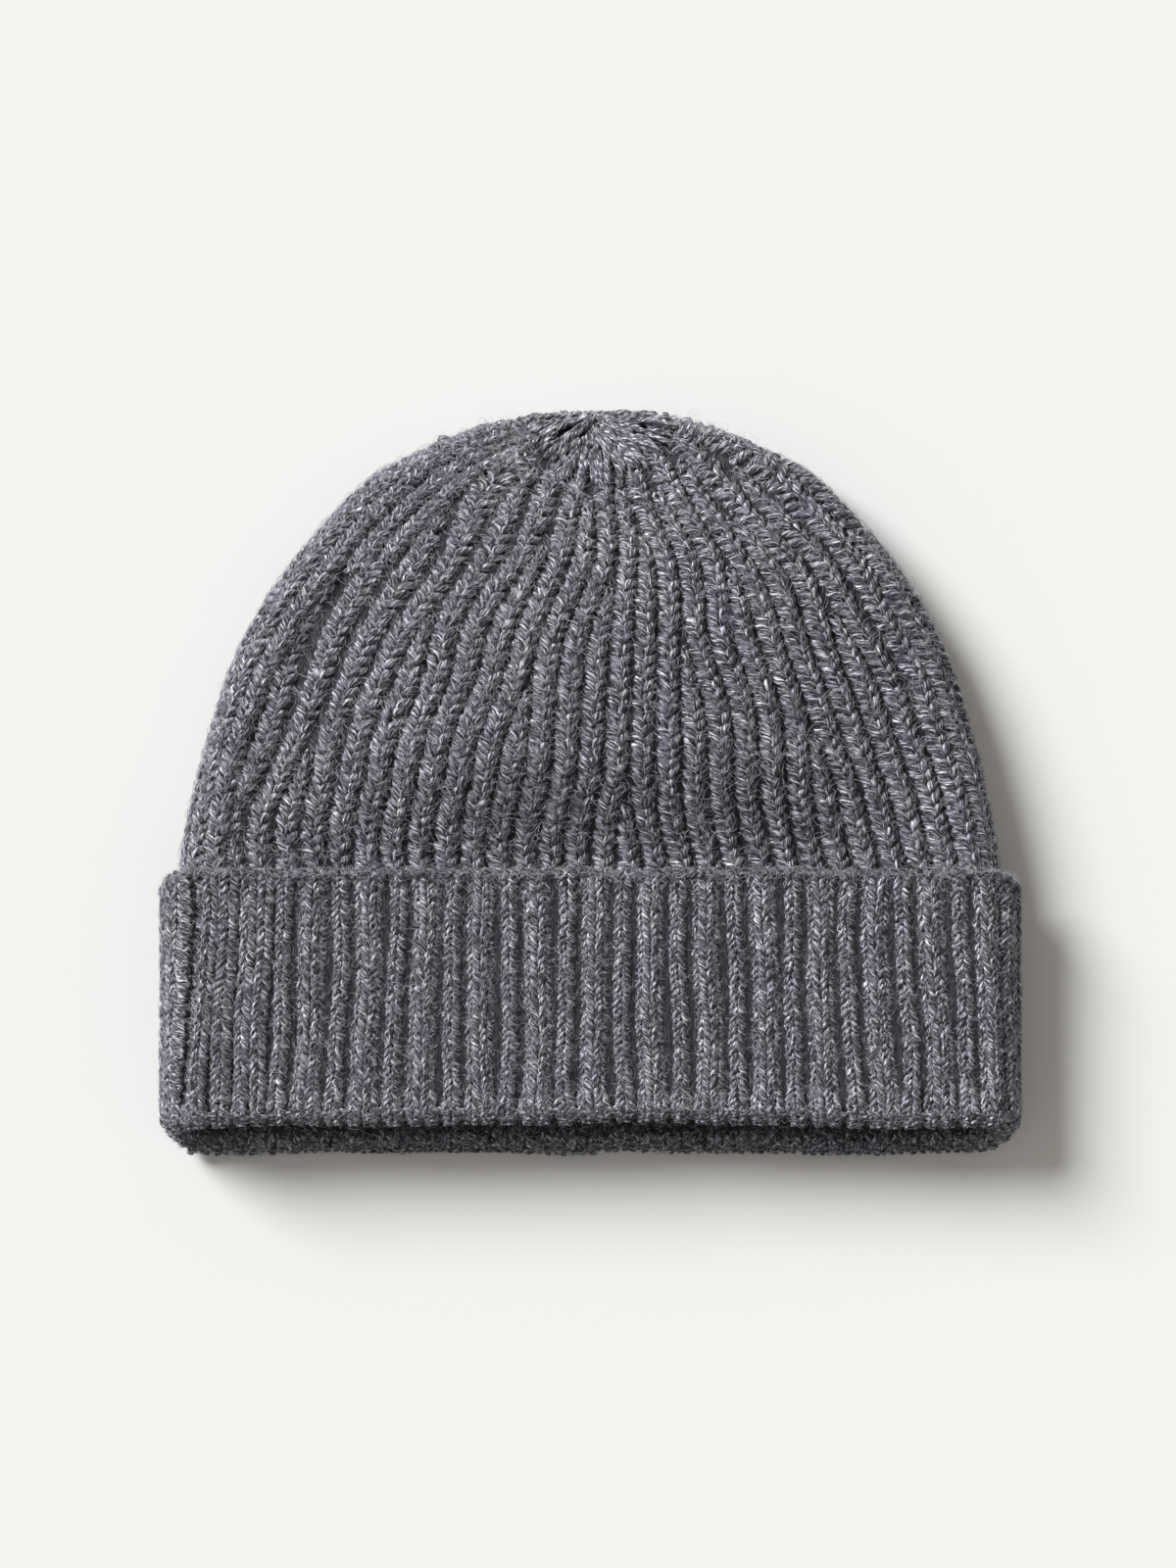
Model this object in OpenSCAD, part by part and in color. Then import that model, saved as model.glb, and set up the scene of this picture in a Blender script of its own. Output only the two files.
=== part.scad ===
// Knit beanie with a turned-up cuff, lying flat on its back, mouth towards -Y and crown towards +Y.
// The origin is under the middle of the beanie, on the surface that it lies on.

/* [Overall] */
// Width of the cuff lying flat, side to side
cuff_w = 230; // [190:1:280]
// Length lying flat, from the rear lip of the mouth to the top of the crown
hat_l = 200; // [170:1:260]
// Height of the puffed crown above the surface under it
crown_h = 34; // [28:1:60]

/* [Knit] */
// Thickness of the chunky rib of the crown
crown_knit_t = 4; // [2.5:0.1:5]
// Thickness of the fine rib of the turned-up cuff
cuff_knit_t = 3.2; // [2:0.1:5]
// Thickness of the fine rib of the band under the cuff
band_knit_t = 3.2; // [2:0.1:5]
// Air between the turned-up cuff and the band under it
layer_gap = 0.3; // [0.2:0.05:1]
// Height of the hollow for the head, where the band lies flat
hollow_h = 12; // [6:0.5:40]

/* [Cuff] */
// Depth of the turned-up cuff, from the fold to the cast-on edge
cuff_depth = 67.4; // [40:0.1:90]
// How far the front lip lies back from the rear lip
lip_set_back = 8.3; // [0:0.1:20]
// Length of the bound row along the cuff's free edge
edge_l = 3.2; // [2:0.1:6]

/* [Crown] */
// Width of the crown where it comes out of the cuff
crown_w = 220.6; // [180:0.1:270]
// Length over which the crown narrows to its top
taper_l = 141; // [100:1:220]
// Height of the crown's rounded sides
side_h = 22; // [16:0.5:40]
// Length over which the sides thin towards the top
side_taper_l = 45; // [30:1:80]
// Length over which the domed front rises from the top
dome_l = 60; // [40:1:100]
// Length over which the crown swells after it leaves the cuff
swell_l = 32; // [12:1:40]
// Length of crown knit that runs down under the cuff
crown_lap = 12; // [6:1:30]
// Length of bunched knit that closes the top
gather_l = 10; // [9:0.5:16]
// Extra share of width close to the top
top_fullness = 0.07; // [0:0.01:0.15]
// Where that extra width peaks, from the top
top_fullness_at = 12; // [6:1:20]
// How far the top leans to the side
top_lean = 1.5; // [-6:0.5:6]

/* [Seams and yarn] */
// Width of the side seam in the cuff
cuff_seam_w = 3; // [2:0.1:5]
// Distance of that seam from the cuff's left edge
cuff_seam_in = 8.3; // [6:0.1:20]
// Width of the seam ridges on the inside
ridge_w = 3.2; // [2:0.1:5]
// Height of the seam ridges on the inside
ridge_h = 1.8; // [1:0.1:3]
// Length of the short seam that closes the top
top_seam_l = 24; // [12:1:40]
// Place of that seam to the side of the middle
top_seam_x = 4.5; // [0:0.5:10]
// Thickness of the drawstring yarn that gathers the top
draw_yarn_d = 1.6; // [1:0.1:2.5]
// Radius of the loop that the drawstring yarn makes
draw_loop_r = 3; // [2:0.1:4]

/* [Hidden] */
$fn = 64;
cut = 1;                 // overshoot of a cutting shape past what it cuts
body_gap = 0.4;          // air between pieces on different bodies, along the slide
seat_gap = 0.15;         // air between an inside ridge and the crown's curved wall
swell_start = 1.5;       // how far past the cuff's edge the crown starts to swell
tip_l = 0.6;             // how far short of its outline's end the top is closed
arc_steps = 10;          // facets round each side of the crown
flat_steps = 16;         // facets across its front and its back
ring_count = 18;         // rounds of facets from the cuff to the top
fold_steps = 6;          // facets across the rounded lip
ridge_steps = 16;        // rounds of facets along the ridge at the top
half_turn = 180;
quarter_turn = 90;

layers_t = cuff_knit_t + layer_gap + band_knit_t;
cuff_h = hollow_h + 2 * layers_t;
cuff_flat_l = cuff_w - cuff_h;
fold_r = layers_t / 2;
slope = lip_set_back / (cuff_h - 2 * fold_r);
lip_overreach = fold_r * (sqrt(1 + slope * slope) - 1);
band_inset = cuff_knit_t + layer_gap;
band_low = band_inset;
band_top = cuff_h - band_inset;
top_y = hat_l / 2;
rear_edge_y = mouth_y(0) + cuff_depth;
front_edge_y = mouth_y(cuff_h) + cuff_depth;
crown_start_y = rear_edge_y - crown_lap;
rear_swell_y = rear_edge_y + swell_start;
front_swell_y = front_edge_y + swell_start;
cavity_end_y = top_y - gather_l;
long = 2 * hat_l;

// Y of the lip of the mouth at a height: the mouth's plane is slanted
function mouth_y(z) = slope * (z - fold_r) - hat_l / 2 + lip_overreach;

// Y where the rounded lip ends and the flat layers start
function fold_end_y(z) = mouth_y(z) + fold_r;

// Rises from 0 to 1, level at both ends
function smooth(x) =
  let (c = min(max(x, 0), 1))
  c * c * (3 - 2 * c);

// Distance from the end of the crown's outline
function from_top(y) = top_y + tip_l - y;

// Share of the width of a rounded bump, from 1 in its middle to 0 at its level ends
function bump(share) = pow(1 - pow(min(abs(share), 1), 3), 2);

// Share of a quarter ellipse that is reached at a distance from its end
function ellipse(distance, length) =
  sqrt(1 - pow(1 - min(max(distance, 0) / length, 1), 2));

// How far the front and the back have swollen out of the cuff
function front_swell(y) = smooth((y - front_swell_y) / swell_l);
function rear_swell(y) = smooth((y - rear_swell_y) / swell_l);

// Half width of the crown's outside
function free_half_w(distance) =
  crown_w / 2 * ellipse(distance, taper_l)
  * (1 + top_fullness * exp(-pow(distance / top_fullness_at - 1, 2)));
function crown_half_w(y) =
  let (inside = smooth((front_edge_y - y) / (front_edge_y - crown_start_y)))
  free_half_w(from_top(y)) * (1 - inside) + (cuff_w / 2 - band_inset) * inside;

// Heights of the crown's underside, of its sides and of the dome on its front
function crown_low(y) = band_low * (1 - rear_swell(y));
function crown_side_h_at(y) =
  let (top = band_top + (side_h - band_top) * front_swell(y))
  (top - crown_low(y)) * ellipse(from_top(y), side_taper_l);
function crown_dome(y) = (crown_h - side_h) * front_swell(y) * smooth(from_top(y) / dome_l);
function crown_lean(y) = top_lean * smooth((y - front_edge_y) / (top_y - front_edge_y));

// One round of points: two rounded sides, a flat back and a domed front
function section(y, half_w, low, height, dome, lean) =
  let (r = min(height / 2, half_w), flat = half_w - r, top = low + height)
  [
    for (i = [0:arc_steps])
      let (a = i * half_turn / arc_steps - quarter_turn)
      [lean + flat + r * cos(a), y, low + r + r * sin(a)],
    for (i = [1:flat_steps - 1])
      let (s = 1 - 2 * i / flat_steps)
      [lean + flat * s, y, top + dome * bump(s)],
    for (i = [0:arc_steps])
      let (a = i * half_turn / arc_steps + quarter_turn)
      [lean - flat + r * cos(a), y, low + r + r * sin(a)],
    for (i = [1:flat_steps - 1])
      let (s = 1 - 2 * i / flat_steps)
      [lean - flat * s, y, low]
  ];

function outer_section(y) =
  section(y, crown_half_w(y), crown_low(y), crown_side_h_at(y), crown_dome(y), crown_lean(y));

// The cavity: its width narrows sooner than the outside, so the wall stays thick near the top
function cavity_half_w(y) =
  let (share = (crown_half_w(y) - crown_knit_t) / crown_half_w(y))
  crown_half_w(y + crown_knit_t * smooth((y - front_edge_y) / swell_l)) * share;
function cavity_low(y) = crown_low(y) + crown_knit_t;
function cavity_side_h(y) = crown_side_h_at(y) - 2 * crown_knit_t;
function cavity_section(y) =
  section(y, cavity_half_w(y), cavity_low(y), cavity_side_h(y), crown_dome(y), crown_lean(y));

// Where the rounds of facets lie, closer together towards the top
function round_ys(end_y) = [
  crown_start_y,
  rear_swell_y,
  (rear_swell_y + front_swell_y) / 2,
  for (k = [0:ring_count])
    front_swell_y + (end_y - front_swell_y) * sin(quarter_turn * k / ring_count)
];

// Faces between round a and round b of n points each, seen from outside
function wall_faces(a, b, n) = [
  for (i = [0:n - 1])
    let (j = (i + 1) % n)
    each [[a + i, b + i, a + j], [b + i, b + j, a + j]]
];

// The middle of one round of points
function middle(points) =
  let (share = [for (p = points) 1 / len(points)])
  [for (axis = [0:2]) [for (p = points) p[axis]] * share];

// A solid made of rounds of points, closed at both ends by a fan of facets
module loft(rounds) {
  n = len(rounds[0]);
  last = len(rounds) - 1;
  first_middle = n * len(rounds);
  last_middle = first_middle + 1;
  polyhedron(
    points = concat(
      [for (round = rounds) each round],
      [middle(rounds[0]), middle(rounds[last])]
    ),
    faces = concat(
      [for (i = [0:n - 1]) [first_middle, i, (i + 1) % n]],
      [for (k = [0:last - 1]) each wall_faces(k * n, (k + 1) * n, n)],
      [for (i = [0:n - 1]) [last_middle, last * n + (i + 1) % n, last * n + i]]
    ),
    convexity = 6
  );
}

// The outline of the flattened band, moved in from the cuff's outside
module stadium(inset) {
  square([cuff_flat_l, cuff_h - 2 * inset], center = true);
  for (side = [-1, 1])
    translate([side * cuff_flat_l / 2, 0])
      circle(r = cuff_h / 2 - inset);
}

// A long flattened tube along Y between two insets
module tube(outer_inset, wall) {
  translate([0, 0, cuff_h / 2])
    rotate([90, 0, 0])
      linear_extrude(height = long, center = true)
        difference() {
          stadium(outer_inset);
          stadium(outer_inset + wall);
        }
}

// Everything between two slanted planes, each given by its Y at the bottom and at the top
module slab(start_low, start_high, end_low, end_high) {
  start_run = cut * (start_high - start_low) / cuff_h;
  end_run = cut * (end_high - end_low) / cuff_h;
  rotate([90, 0, 90])
    linear_extrude(height = 2 * cuff_w, center = true)
      polygon([
        [start_low - start_run, -cut],
        [end_low - end_run, -cut],
        [end_high + end_run, cuff_h + cut],
        [start_high + start_run, cuff_h + cut]
      ]);
}

// The stretch of the cuff between two distances from the mouth
module cuff_stretch(from, to) {
  slab(mouth_y(0) + from, mouth_y(cuff_h) + from, mouth_y(0) + to, mouth_y(cuff_h) + to);
}

// The column of the cuff that the side seam takes up, on the front near the left edge
module cuff_seam_column() {
  translate([cuff_seam_in - cuff_w / 2 - cuff_seam_w / 2, -long / 2, cuff_h / 2])
    cube([cuff_seam_w, long, cuff_h]);
}

// The rounds run up the inside from top to rim, then down the outside from rim to top
module crown_knit() {
  ys = round_ys(cavity_end_y);
  inside = [for (k = [len(ys) - 1:-1:0]) cavity_section(ys[k])];
  outside = [for (y = round_ys(top_y)) outer_section(y)];
  color("#6a6a70")
    loft(concat(inside, outside));
}

module inner_band() {
  color("#58585d")
    intersection() {
      tube(band_inset, band_knit_t);
      slab(
        fold_end_y(0) + body_gap, fold_end_y(cuff_h) + body_gap,
        crown_start_y, crown_start_y
      );
    }
}

module cuff_band() {
  color("#626268")
    difference() {
      intersection() {
        tube(0, cuff_knit_t);
        cuff_stretch(fold_r, cuff_depth - edge_l);
      }
      cuff_seam_column();
    }
}

module cuff_side_seam() {
  color("#55555a")
    intersection() {
      tube(0, cuff_knit_t);
      cuff_stretch(fold_r, cuff_depth - edge_l);
      cuff_seam_column();
    }
}

module cuff_cast_on_edge() {
  color("#707076")
    intersection() {
      tube(0, cuff_knit_t);
      cuff_stretch(cuff_depth - edge_l, cuff_depth);
    }
}

// One cut through the rounded lip, a half disc that stands on the path round the mouth
function lip_cut(x, z, a) = [
  for (k = [0:fold_steps])
    let (
      turn = half_turn * k / fold_steps,
      reach = fold_r * cos(turn),
      height = z + reach * sin(a)
    )
    [x + reach * cos(a), fold_end_y(height) - fold_r * sin(turn), height]
];

// The path runs round the mouth, midway between the outer and the inner layer
function lip_path() =
  let (r = cuff_h / 2 - fold_r, flat = cuff_flat_l / 2)
  [
    for (side = [0, 1], i = [0:2 * arc_steps])
      let (a = side * half_turn + i * half_turn / (2 * arc_steps) - quarter_turn)
      [(1 - 2 * side) * flat + r * cos(a), cuff_h / 2 + r * sin(a), a]
  ];

module cuff_fold() {
  path = lip_path();
  rounds = [for (p = path) lip_cut(p[0], p[1], p[2])];
  n = fold_steps + 1;
  count = len(rounds);
  color("#74747a")
    polyhedron(
      points = [for (round = rounds) each round],
      faces = [
        for (k = [0:count - 1])
          each wall_faces(((k + 1) % count) * n, k * n, n)
      ],
      convexity = 6
    );
}

// A ridge inside the crown's left side, where the two edges of the knit are sewn together
function side_ridge_cut(y) =
  let (
    x = crown_lean(y) - cavity_half_w(y) + seat_gap + ridge_w * ridge_w / (4 * cavity_side_h(y)),
    z = cavity_low(y) + cavity_side_h(y) / 2
  )
  [
    [x, y, z - ridge_w / 2],
    [x + ridge_h, y, z - ridge_w / 2],
    [x + ridge_h, y, z + ridge_w / 2],
    [x, y, z + ridge_w / 2]
  ];

// The ridge has its rounds where the cavity has them, so it runs along every facet of the wall
module crown_side_seam() {
  color("#4c4c51")
    loft([
      for (y = round_ys(cavity_end_y))
        if (y < cavity_end_y - side_taper_l / 2)
          side_ridge_cut(y)
    ]);
}

module inner_band_seam() {
  color("#4c4c51")
    intersection() {
      translate([0, 0, cuff_h / 2])
        rotate([90, 0, 0])
          linear_extrude(height = long, center = true)
            stadium(layers_t);
      slab(
        fold_end_y(0) + body_gap, fold_end_y(cuff_h) + body_gap,
        crown_start_y, crown_start_y
      );
      translate([layers_t - cuff_w / 2 - cut, -long / 2, cuff_h / 2 - ridge_w / 2])
        cube([ridge_h + cut, long, ridge_w]);
    }
}

// A short ridge under the crown's front, close to the top
function top_ridge_cut(y) =
  let (
    x = crown_lean(y) + top_seam_x,
    share = (top_seam_x + ridge_w / 2) / (cavity_half_w(y) - cavity_side_h(y) / 2),
    z = cavity_low(y) + cavity_side_h(y) - seat_gap
      + crown_dome(y) * bump(share)
  )
  [
    [x - ridge_w / 2, y, z - ridge_h],
    [x + ridge_w / 2, y, z - ridge_h],
    [x + ridge_w / 2, y, z],
    [x - ridge_w / 2, y, z]
  ];

module crown_top_seam() {
  start_y = cavity_end_y - 3 * draw_yarn_d;
  color("#3f3f44")
    loft([
      for (k = [0:ridge_steps])
        top_ridge_cut(start_y - top_seam_l * (1 - k / ridge_steps))
    ]);
}

module crown_draw_yarn() {
  y = cavity_end_y - draw_yarn_d;
  color("#3a3a3f")
    translate([crown_lean(y), y, cavity_low(y) + cavity_side_h(y) / 2])
      rotate([90, 0, 0])
        rotate_extrude()
          translate([draw_loop_r - draw_yarn_d / 2, 0])
            circle(d = draw_yarn_d);
}

crown_knit();
inner_band();
cuff_band();
cuff_fold();
cuff_cast_on_edge();
crown_side_seam();
inner_band_seam();
cuff_side_seam();
crown_top_seam();
crown_draw_yarn();
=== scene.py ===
"""The looks of the knit beanie: every leg of every stitch is a short, tapered length of marled
yarn, laid on the surfaces of the CAD model. Lengths are in millimetres until a mesh is made."""

import bpy
import numpy as np
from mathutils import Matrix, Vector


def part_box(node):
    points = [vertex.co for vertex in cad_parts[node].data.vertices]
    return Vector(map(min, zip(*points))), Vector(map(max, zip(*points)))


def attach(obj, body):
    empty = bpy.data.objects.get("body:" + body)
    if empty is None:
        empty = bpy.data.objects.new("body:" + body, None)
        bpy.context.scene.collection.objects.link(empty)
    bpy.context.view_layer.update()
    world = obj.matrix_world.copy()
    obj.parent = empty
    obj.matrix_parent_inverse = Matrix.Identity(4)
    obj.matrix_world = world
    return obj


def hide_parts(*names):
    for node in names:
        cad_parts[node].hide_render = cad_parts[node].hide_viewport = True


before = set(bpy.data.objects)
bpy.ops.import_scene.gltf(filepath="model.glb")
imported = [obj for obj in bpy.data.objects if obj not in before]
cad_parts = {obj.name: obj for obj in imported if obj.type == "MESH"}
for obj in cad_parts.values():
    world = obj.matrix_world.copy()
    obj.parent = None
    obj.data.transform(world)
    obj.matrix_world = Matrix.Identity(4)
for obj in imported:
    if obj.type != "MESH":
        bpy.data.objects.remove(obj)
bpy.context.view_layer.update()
MM = 0.001
rng = np.random.default_rng(11)

# ---------------------------------------------------------------- sizes taken from the frame


def box_mm(node_name):
    """Lowest and highest corner of a CAD node."""
    return [np.array(corner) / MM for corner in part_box(node_name)]


band_box, edge_box = box_mm("cuff_band"), box_mm("cuff_cast_on_edge")
fold_box, crown_box = box_mm("cuff_fold"), box_mm("crown_knit")
cuff_w = band_box[1][0] - band_box[0][0]
cuff_h = band_box[1][2] - band_box[0][2]
hat_l = crown_box[1][1] - fold_box[0][1]
crown_h = crown_box[1][2]
crown_start_y = crown_box[0][1]
front_edge_y = edge_box[1][1]

# Sizes that the CAD design names and its boxes don't show
layers_t = 6.7               # the cuff, the band under it and the air between them
crown_knit_t = 4.0           # thickness of the crown's knit
edge_l = 3.2                 # length of the bound row along the cuff's free edge
lip_set_back = 8.3           # how far the front lip lies back from the rear lip
band_inset = 3.5             # how far the band lies inside the cuff's outline
crown_w = 220.6              # width of the crown where it comes out of the cuff
taper_l = 141.0              # length over which the crown narrows to its top
side_h = 22.0                # height of the crown's rounded sides
side_taper_l = 45.0          # length over which the sides thin towards the top
dome_l = 60.0                # length over which the domed front rises from the top
swell_l = 32.0               # length over which the crown swells after it leaves the cuff
swell_start = 1.5            # how far past the cuff's edge it starts to swell
gather_l = 10.0              # length of bunched knit that closes the top
top_fullness = 0.07          # extra share of width close to the top
top_fullness_at = 12.0       # where that extra width peaks, from the top
top_lean = 1.5               # how far the top leans to the side
tip_l = 0.6                  # how far short of its outline's end the top is closed
body_gap = 0.4               # air between pieces on different bodies, along the slide
cuff_seam_w = 3.0            # width of the side seam in the cuff
cuff_seam_in = 8.3           # distance of that seam from the cuff's left edge

fold_r = layers_t / 2
slope = lip_set_back / (cuff_h - 2 * fold_r)
lip_overreach = fold_r * (np.sqrt(1 + slope * slope) - 1)
top_y = hat_l / 2
cuff_flat = (cuff_w - cuff_h) / 2
cuff_depth = front_edge_y - (slope * (cuff_h - fold_r) - top_y + lip_overreach)
rear_edge_y = slope * -fold_r - top_y + lip_overreach + cuff_depth
band_low, band_top = band_inset, cuff_h - band_inset

# ---------------------------------------------------------------- sizes of the knit
crown_ribs = 66              # round the crown where it leaves the cuff
crown_course = 2.95          # height of one row of its stitches
crown_yarn_r = 1.14
crown_groove = 3.7           # depth of the grooves between its ribs
crown_groove_x = 1.4         # where one of those grooves leaves the cuff
fewest_ribs = 0.24           # share of the ribs that reach the top
rib_fade_l = 30              # length over which a rib that ends gives way to its neighbours
edge_wale_w = 6.9            # width of the wales along the left outline
full_edge_wales = 3          # how many of those run the whole way up
edge_fan_l = 44              # how far from the top the first of the others starts
edge_all_l = 38              # how far from the top they all lie side by side
edge_raise = 0.5             # how far those wales stand out
edge_overlap = 1.6           # how far they reach past the middles of the first and the last
dive_l = 5.4                 # how far from those middles the ribs start to pass under them
dive = 1.1                   # how deep the ribs lie there
top_clear = 3                # how far from the top those wales stop
apex_x = 2.4                 # where the crown is drawn up, measured across
gather_r = 16.0              # how far from there the drawn-up stitches reach
lining_inset = 2.6           # how deep the crown's ground lies under its surface
cuff_repeats = 33            # pairs of a narrow and a wide rib round the cuff
cuff_course = 1.75           # height of one row of its stitches
cuff_yarn_r = 0.68
cuff_groove = 2.2            # depth of the grooves between its ribs
narrow_share = 0.4           # share of a repeat that its one-wale rib takes
rib_gap = 1.15               # how far apart two ribs of the cuff stand
narrow_centre_x = -6.4       # where one narrow rib is centred on the front
felted_q = (-119, -86)       # stretch of the cuff's way round where wear has closed the grooves
seam_pitch = 1.9             # length of one stitch of the cuff's side seam
seam_stitch_w = 6.0
edge_step = 2.3              # length of one stitch along the cuff's free edge
fuzz_l = 2.6                 # usual length of the fibres that stand off the cuff


def smooth(x):
    c = np.clip(x, 0, 1)
    return c * c * (3 - 2 * c)


def unit(v):
    return v / np.maximum(np.linalg.norm(v, axis=-1, keepdims=True), 1e-9)


# ---------------------------------------------------------------- the crown's surface


def ellipse(distance, length):
    return np.sqrt(np.maximum(0, 1 - (1 - np.clip(distance / length, 0, 1)) ** 2))


def crown_half_w(y):
    d = top_y + tip_l - y
    free = crown_w / 2 * ellipse(d, taper_l)
    free = free * (1 + top_fullness * np.exp(-((d / top_fullness_at - 1) ** 2)))
    inside = smooth((front_edge_y - y) / (front_edge_y - crown_start_y))
    return free * (1 - inside) + (cuff_w / 2 - band_inset) * inside


def crown_side(y):
    """How far the front has swollen at y, how low the crown's rounded side starts there, and how
    high that side is."""
    front = smooth((y - front_edge_y - swell_start) / swell_l)
    low = band_low * (1 - smooth((y - rear_edge_y - swell_start) / swell_l))
    height = (band_top + (side_h - band_top) * front - low) * ellipse(top_y + tip_l - y, side_taper_l)
    return front, low, height


def crown_side_middle(y):
    _, low, height = crown_side(y)
    return low + height / 2


def crown_section(y, inset, count=96):
    """Closed outline of the crown at y, from the middle of the front towards +X."""
    front, low, height = crown_side(y)
    dome = (crown_h - side_h) * front * smooth((top_y + tip_l - y) / dome_l)
    lean = top_lean * smooth((y - front_edge_y) / (top_y - front_edge_y))
    half = crown_half_w(y)
    r = min(height / 2, half)
    flat = half - r
    s = np.linspace(0, 1, count)
    a = np.linspace(np.pi / 2, -np.pi / 2, count)
    rise = dome * (1 - s ** 3) ** 2
    rr = max(r - inset, 0.05)
    right_x = np.concatenate([flat * s, flat + rr * np.cos(a), flat * s[::-1]])
    right_z = np.concatenate([
        low + height - inset + rise, low + r + rr * np.sin(a), np.full(count, low + inset)
    ])
    x = np.concatenate([right_x, -right_x[::-1]]) + lean
    z = np.concatenate([right_z, right_z[::-1]])
    return x, z


LEVELS, AROUND = 260, 720
level_y = crown_start_y + (top_y - crown_start_y) * np.sin(np.pi / 2 * np.linspace(0, 1, LEVELS))


def crown_grid(inset, around, ys):
    """Points at equal steps round the crown at each y, and the length of each round."""
    grid, girth = np.zeros((len(ys), around, 3)), np.zeros(len(ys))
    for k, y in enumerate(ys):
        x, z = crown_section(y, inset)
        run = np.concatenate([[0], np.cumsum(np.hypot(np.diff(x), np.diff(z)))])
        at = np.arange(around) / around * run[-1]
        grid[k, :, 0], grid[k, :, 2] = np.interp(at, run, x), np.interp(at, run, z)
        grid[k, :, 1], girth[k] = y, run[-1]
    return grid, girth


crown_points, girth = crown_grid(0, AROUND, level_y)
round_way = unit(np.roll(crown_points, -1, 1) - np.roll(crown_points, 1, 1))
up_way = np.gradient(crown_points, axis=0)
crown_normals = unit(np.cross(round_way, up_way))


def sample(grid, level, u):
    """Reads a grid of vectors at fractional levels and at shares u of the way round."""
    level = np.clip(level, 0, LEVELS - 1.001)
    k = level.astype(int)
    f = (level - k)[..., None]
    column = (u % 1) * AROUND
    m = column.astype(int) % AROUND
    g = (column - column.astype(int))[..., None]
    n = (m + 1) % AROUND
    return (grid[k, m] * (1 - g) + grid[k, n] * g) * (1 - f) + (
        grid[k + 1, m] * (1 - g) + grid[k + 1, n] * g
    ) * f


# ---------------------------------------------------------------- how the crown's ribs run
BASE_LEVEL = 40                                 # a level just past the cuff's edge
from_top = top_y + tip_l - level_y
width_share = np.minimum(crown_half_w(level_y) / (crown_w / 2), 1)
middle_x = 5 + 13 * smooth(from_top / 45)       # the rib that stands upright
middle_q = middle_x - top_lean * smooth((level_y - front_edge_y) / (top_y - front_edge_y))
pull_left = np.maximum(width_share ** 1.15, 0.25)   # the ribs on the left lean more
pull_right = np.maximum(width_share ** 0.8, 0.3)


def rib_places():
    """Share of the way round of each rib's middle at each level, and each rib's width there."""
    wanted = crown_ribs * np.clip(girth / girth[BASE_LEVEL] * 0.98 + 0.02, fewest_ribs, 1)
    wanted = np.minimum.accumulate(wanted)
    golden = 0.6180339
    order = np.argsort(np.argsort((np.arange(crown_ribs) * golden + 0.2) % 1))
    end_level = np.array([np.searchsorted(-wanted, -(o + 0.5)) for o in order])
    never = 1e3
    end_y = np.where(end_level >= LEVELS, never, level_y[np.minimum(end_level, LEVELS - 1)])
    weight = 1 - smooth((level_y[None] - end_y[:, None] + rib_fade_l) / rib_fade_l)
    weight = np.maximum(weight, 1e-4)
    total = weight.sum(0)
    centre = (np.cumsum(weight, 0) - weight / 2) / total
    phase = ((middle_x[0] - crown_groove_x) / (girth[BASE_LEVEL] / crown_ribs)) % 1 / crown_ribs
    tau = 2 * (centre - phase) - 1
    pull = np.where(tau < 0, pull_left[None], pull_right[None])
    size = np.abs(tau)
    from_side = np.minimum(size, 1 - size)
    reach = pull * from_side + 4 * (1 - pull) * from_side ** 3
    reach = np.where(size < 0.5, reach, 1 - reach)
    stretch = pull + 12 * (1 - pull) * from_side ** 2
    q = middle_q[None] + np.sign(tau) * reach * girth[None] / 2
    return q / girth[None], stretch * girth[None] * weight / total


def stitch_chain(u, width, course, first=0.5):
    """The stitches along one rib whose place at each level is u: each one's middle c, its way up t,
    its outward normal n, its width w and its place round the crown."""
    levels = np.arange(LEVELS, dtype=float)
    path = sample(crown_points, levels, u)
    step = np.linalg.norm(np.diff(path, axis=0), axis=1)
    run = np.concatenate([[0], np.cumsum(step)])
    at = np.arange(first * course, run[-1] - 0.4 * course, course)
    at = at + rng.normal(0, 0.05 * course, len(at))
    level = np.interp(at, run, levels)
    tangent = np.gradient(path, axis=0)
    t = np.stack([np.interp(level, levels, tangent[:, i]) for i in range(3)], 1)
    place = np.interp(level, levels, u)
    c, n = sample(crown_points, level, place), unit(sample(crown_normals, level, place))
    t = unit(t - n * (t * n).sum(1, keepdims=True))
    ring = unit(sample(round_way, level, place))
    narrow = np.linalg.norm(np.cross(ring, t), axis=1)
    return dict(c=c, t=t, n=n, w=np.interp(level, levels, width) * narrow, place=place % 1)


def join(chains):
    return {key: np.concatenate([chain[key] for chain in chains]) for key in chains[0]}


def keep(chain, mask):
    return {key: value[mask] for key, value in chain.items()}


# ---------------------------------------------------------------- yarn


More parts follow.
